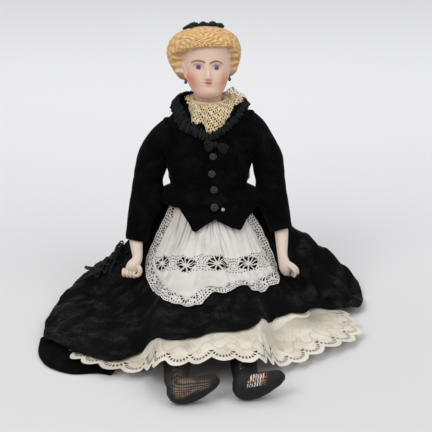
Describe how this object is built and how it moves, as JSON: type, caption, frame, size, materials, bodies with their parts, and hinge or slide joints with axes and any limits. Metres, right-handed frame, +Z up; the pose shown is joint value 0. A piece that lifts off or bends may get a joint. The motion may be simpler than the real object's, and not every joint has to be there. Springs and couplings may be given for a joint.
{
  "type": "shoulder head doll",
  "caption": "Dressed doll with a bisque shoulder head and forearms on a stuffed cloth body, sitting on the floor with its skirts spread over outstretched jointed legs.",
  "frame": {"origin": "on the floor, on the flat seat of the body, straight below the neck", "axes": "+Z up, the doll faces -Y, its own left hand is at +X"},
  "size_m": [0.3151, 0.3788, 0.2833],
  "materials": {
    "bisque": "matt fired and painted",
    "stuffed_cotton": "plain woven cotton",
    "white_cotton": "white cotton with lace edge",
    "petticoat_cotton": "cream cotton with eyelet hem",
    "pink_flannel": "napped",
    "black_velvet": "napped black velvet",
    "black_silk": "figured black silk",
    "black_ribbon": "black silk ribbon",
    "black_net": "sheer black net",
    "ecru_lace": "ecru lace",
    "cotton_tape": "woven tape",
    "jet": "faceted black glass",
    "pearl": "pearly bead",
    "blue_bead": "dark blue drop"
  },
  "bodies": {
    "doll": {"torso": "stuffed_cotton", "shoulder_head": "bisque", "hair_ribbon": "black_ribbon", "sewing_tape_front_right": "cotton_tape", "sewing_tape_front_left": "cotton_tape", "sewing_tape_back_right": "cotton_tape", "sewing_tape_back_left": "cotton_tape", "jacket": "black_velvet", "neck_ruffle": "black_ribbon", "jacket_bow": "black_ribbon", "button_1": "jet", "button_2": "jet", "button_3": "jet", "button_4": "jet", "pearl_stud": "pearl", "lace_collar": "ecru_lace", "skirt_waistband": "cotton_tape", "flannel_petticoat": "pink_flannel", "petticoat": "petticoat_cotton", "skirt": "black_silk", "skirt_facing": "black_silk", "apron": "white_cotton", "apron_band": "white_cotton", "apron_bow": "white_cotton", "sash": "black_silk", "sash_fringe": "black_silk"},
    "arm_right": {"upper_arm_right": "stuffed_cotton", "forearm_right": "bisque", "sleeve_right": "black_velvet"},
    "arm_left": {"upper_arm_left": "stuffed_cotton", "forearm_left": "bisque", "sleeve_left": "black_velvet"},
    "thigh_right": {"thigh_right": "stuffed_cotton"},
    "thigh_left": {"thigh_left": "stuffed_cotton"},
    "shin_right": {"lower_leg_right": "stuffed_cotton", "stocking_right": "black_net"},
    "shin_left": {"lower_leg_left": "stuffed_cotton", "stocking_left": "black_net"},
    "earring_right": {"earring_right": "blue_bead"},
    "earring_left": {"earring_left": "blue_bead"}
  },
  "joints": [
    {"name": "shoulder_right", "type": "hinge", "parent": "doll", "child": "arm_right", "pos_m": [-0.0427, 0, 0.168], "axis": [-1, 0, 0], "range_deg": [0, 120]},
    {"name": "shoulder_left", "type": "hinge", "parent": "doll", "child": "arm_left", "pos_m": [0.0427, 0, 0.168], "axis": [-1, 0, 0], "range_deg": [0, 120]},
    {"name": "hip_right", "type": "hinge", "parent": "doll", "child": "thigh_right", "pos_m": [-0.02, -0.022, 0.018], "axis": [1, 0, 0], "range_deg": [0, 90]},
    {"name": "hip_left", "type": "hinge", "parent": "doll", "child": "thigh_left", "pos_m": [0.02, -0.022, 0.018], "axis": [1, 0, 0], "range_deg": [0, 90]},
    {"name": "knee_right", "type": "hinge", "parent": "thigh_right", "child": "shin_right", "pos_m": [-0.028, -0.135, 0.017], "axis": [1, 0, 0], "range_deg": [0, 85]},
    {"name": "knee_left", "type": "hinge", "parent": "thigh_left", "child": "shin_left", "pos_m": [0.03, -0.135, 0.017], "axis": [1, 0, 0], "range_deg": [0, 85]},
    {"name": "earring_right_swing", "type": "hinge", "parent": "doll", "child": "earring_right", "pos_m": [-0.023, -0.007, 0.2285], "axis": [1, 0, 0], "range_deg": [-20, 20]},
    {"name": "earring_left_swing", "type": "hinge", "parent": "doll", "child": "earring_left", "pos_m": [0.0212, -0.0022, 0.23], "axis": [1, 0, 0], "range_deg": [-20, 20]}
  ]
}
